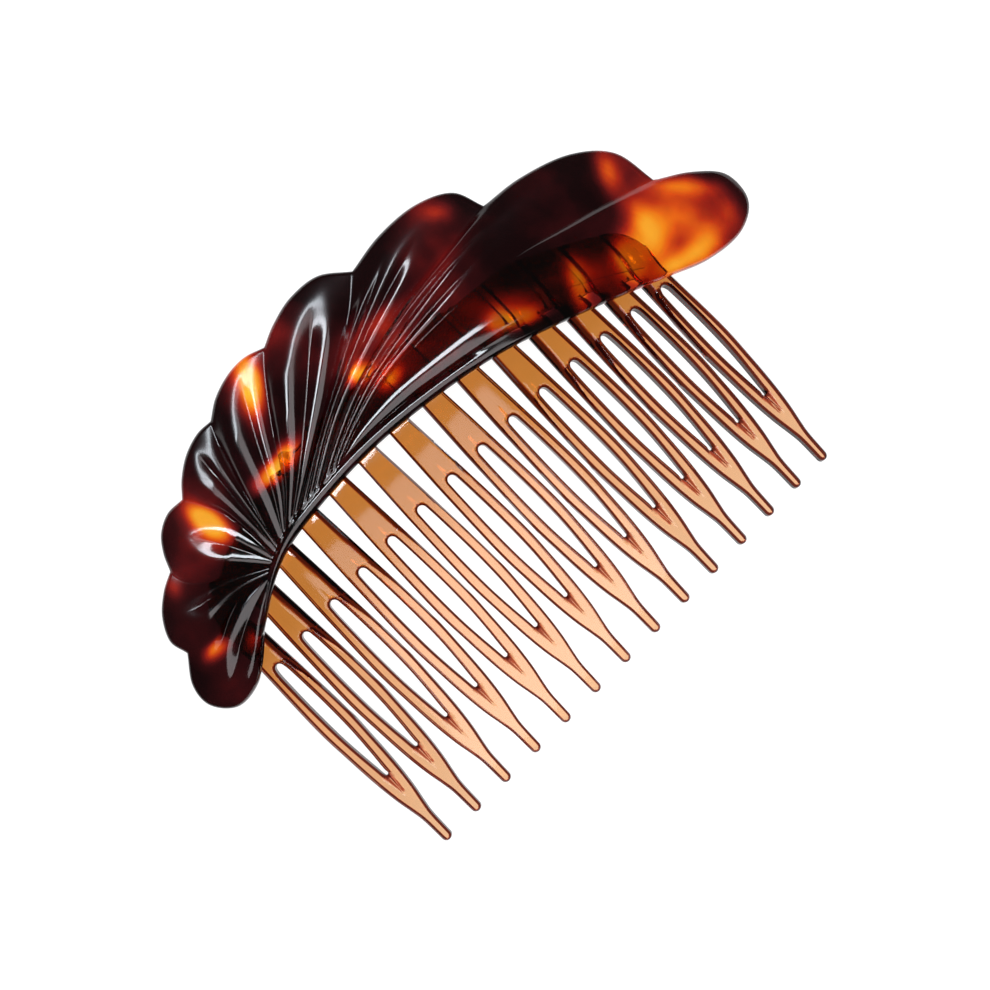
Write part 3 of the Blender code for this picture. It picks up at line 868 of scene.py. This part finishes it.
def tortoiseshell():
    """Clear amber resin with dark clouds in it, polished."""
    nodes = Nodes("tortoiseshell_resin")
    cloud = nodes.math("SUBTRACT", nodes.noise(CLOUD_SCALE, 3.0), CLOUD_LEVEL)
    level = nodes.math("ADD", nodes.attribute("clearness"), nodes.math("MULTIPLY", cloud, CLOUD_STRENGTH))
    ramp = nodes.ramp((
        (0.0, (0.007, 0.001, 0.0014)), (0.15, (0.035, 0.003, 0.004)), (0.3, (0.15, 0.008, 0.008)),
        (0.46, (0.42, 0.022, 0.008)), (0.62, (0.76, 0.1, 0.008)), (0.8, (0.9, 0.27, 0.01)),
        (1.0, (0.94, 0.42, 0.03)),
    ))
    nodes.join(level, ramp.inputs["Fac"])
    nodes.join(ramp.outputs["Color"], nodes.shader.inputs["Base Color"])
    nodes.join(nodes.attribute("surface_haze"), nodes.shader.inputs["Roughness"])
    nodes.surface({"IOR": 1.5, "Transmission Weight": 1.0})
    return nodes.material


def amber_resin():
    """Translucent amber resin: its colour deepens with the thickness that light crosses. Painted shade
    darkens its walls, bevels and grooves, and the part near the spine.
    """
    nodes = Nodes("amber_resin")
    nodes.uneven_roughness(260.0, 3.0, 0.03, 0.07)
    # Painted shade: walls, bevels and grooves darken through maroon to near black
    wall_shade_ramp = nodes.ramp((
        (0.0, (1.0, 1.0, 1.0)), (0.4, (0.4, 0.05, 0.03)), (0.8, (0.05, 0.003, 0.003)),
        (1.0, (0.02, 0.0015, 0.0015)),
    ))
    nodes.join(nodes.attribute("wall_painted_shade"), wall_shade_ramp.inputs["Fac"])
    # Painted shade towards the spine: darker and more orange under the ornament
    spine_shade_ramp = nodes.ramp(((0.0, (0.92, 0.93, 0.9)), (1.0, (0.62, 0.5, 0.2))))
    nodes.join(nodes.attribute("spine_painted_shade"), spine_shade_ramp.inputs["Fac"])
    # Both painted shades multiply into the base colour
    painted_shade_mix = nodes.add("ShaderNodeMix", data_type="RGBA", blend_type="MULTIPLY")
    painted_shade_mix.inputs["Factor"].default_value = 1.0
    nodes.join(wall_shade_ramp.outputs["Color"], painted_shade_mix.inputs["A"])
    nodes.join(spine_shade_ramp.outputs["Color"], painted_shade_mix.inputs["B"])
    nodes.join(painted_shade_mix.outputs["Result"], nodes.shader.inputs["Base Color"])
    nodes.surface({"IOR": 1.49, "Transmission Weight": 1.0})
    inside = nodes.add("ShaderNodeVolumeAbsorption")
    inside.inputs["Color"].default_value = (0.93, 0.56, 0.18, 1.0)
    inside.inputs["Density"].default_value = 1000.0
    nodes.join(inside.outputs[0], nodes.output.inputs["Volume"])
    return nodes.material


def clear_cement():
    """Cured clear cement, faintly yellow and hazy."""
    nodes = Nodes("clear_cement")
    nodes.uneven_roughness(400.0, 2.0, 0.08, 0.25)
    nodes.surface({"Base Color": (0.97, 0.93, 0.85, 1.0), "IOR": 1.45, "Transmission Weight": 1.0})
    return nodes.material


def white_table():
    """Plain white table, lit from below as a light table is."""
    nodes = Nodes("white_table")
    nodes.surface({
        "Base Color": (0.25, 0.25, 0.25, 1.0), "Roughness": 0.6, "Specular IOR Level": 0.1,
        "Emission Color": (1.0, 1.0, 1.0, 1.0), "Emission Strength": 0.95,
    })
    return nodes.material


# Stage ---------------------------------------------------------------------------------

def make_table():
    """Plain square table, its top just below the comb."""
    mesh = bpy.data.meshes.new("table")
    half = TABLE_HALF_WIDTH
    mesh.from_pydata([(-half, -half, 0), (half, -half, 0), (half, half, 0), (-half, half, 0)],
                     [], [(0, 1, 2, 3)])
    mesh.materials.append(white_table())
    table = bpy.data.objects.new("table", mesh)
    bpy.context.scene.collection.objects.link(table)
    table.location.z = -TABLE_DROP


def camera_axes():
    """Right, up and back of the camera, as unit vectors."""
    back = Vector(CAMERA_BACK).normalized()
    right = Vector(CAMERA_RIGHT).normalized()
    up = back.cross(right).normalized()
    return right, up, back


def make_camera():
    right, up, back = camera_axes()
    data = bpy.data.cameras.new("camera")
    data.sensor_width = CAMERA_SENSOR
    data.lens = CAMERA_SENSOR * CAMERA_DISTANCE / PICTURE_WIDTH
    data.clip_start = 0.01
    camera = bpy.data.objects.new("camera", data)
    matrix = Matrix((right, up, back)).transposed().to_4x4()
    matrix.translation = (Vector(CAMERA_AIM) + CAMERA_DISTANCE * back) * MM
    camera.matrix_world = matrix
    bpy.context.scene.collection.objects.link(camera)
    bpy.context.scene.camera = camera


def soft_box(name, along, across, spread_along, spread_across, radiance, colour):
    """Rectangular lamp a metre away. Its place and spread are angles in degrees from the line
    of sight: along the comb, and across it towards the crest."""
    right, up, back = camera_axes()
    comb_axis = (right + up).normalized()
    crest_axis = (up - right).normalized()
    direction = back + math.tan(math.radians(along)) * comb_axis
    direction += math.tan(math.radians(across)) * crest_axis
    direction.normalize()
    data = bpy.data.lights.new(name, "AREA")
    data.shape = "RECTANGLE"
    data.size = 2 * LAMP_DISTANCE * math.tan(math.radians(spread_along / 2))
    data.size_y = 2 * LAMP_DISTANCE * math.tan(math.radians(spread_across / 2))
    data.energy = radiance * math.pi * data.size * data.size_y
    data.color = colour
    lamp = bpy.data.objects.new(name, data)
    side = (comb_axis - comb_axis.dot(direction) * direction).normalized()
    matrix = Matrix((side, direction.cross(side), direction)).transposed().to_4x4()
    matrix.translation = Vector(CAMERA_AIM) * MM + direction * LAMP_DISTANCE
    lamp.matrix_world = matrix
    bpy.context.scene.collection.objects.link(lamp)


def make_surroundings():
    """White to the eye, dim to what the polished surfaces mirror."""
    world = bpy.data.worlds.new("studio")
    bpy.context.scene.world = world
    world.use_nodes = True
    tree = world.node_tree
    seen = tree.nodes["Background"]
    seen.inputs["Color"].default_value = (1.0, 1.0, 1.0, 1.0)
    mirrored = tree.nodes.new("ShaderNodeBackground")
    mirrored.inputs["Color"].default_value = (0.06, 0.05, 0.05, 1.0)
    path = tree.nodes.new("ShaderNodeLightPath")
    mix = tree.nodes.new("ShaderNodeMixShader")
    tree.links.new(path.outputs["Is Camera Ray"], mix.inputs["Fac"])
    tree.links.new(mirrored.outputs[0], mix.inputs[1])
    tree.links.new(seen.outputs[0], mix.inputs[2])
    tree.links.new(mix.outputs[0], tree.nodes["World Output"].inputs["Surface"])
    bpy.context.scene.view_settings.view_transform = "Standard"


# Assembly ------------------------------------------------------------------------------

comb = make_comb(amber_resin())
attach(comb, "root")
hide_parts("comb_spine", *["tooth_%02d" % (n + 1) for n in range(TOOTH_COUNT)])

ornament = make_ornament(tortoiseshell())
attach(ornament, "root")
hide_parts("ornament")

cement = clear_cement()
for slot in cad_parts["cement_film"].material_slots:
    slot.material = cement

make_table()
make_camera()
for lamp in SOFT_BOXES:
    soft_box(*lamp)
make_surroundings()
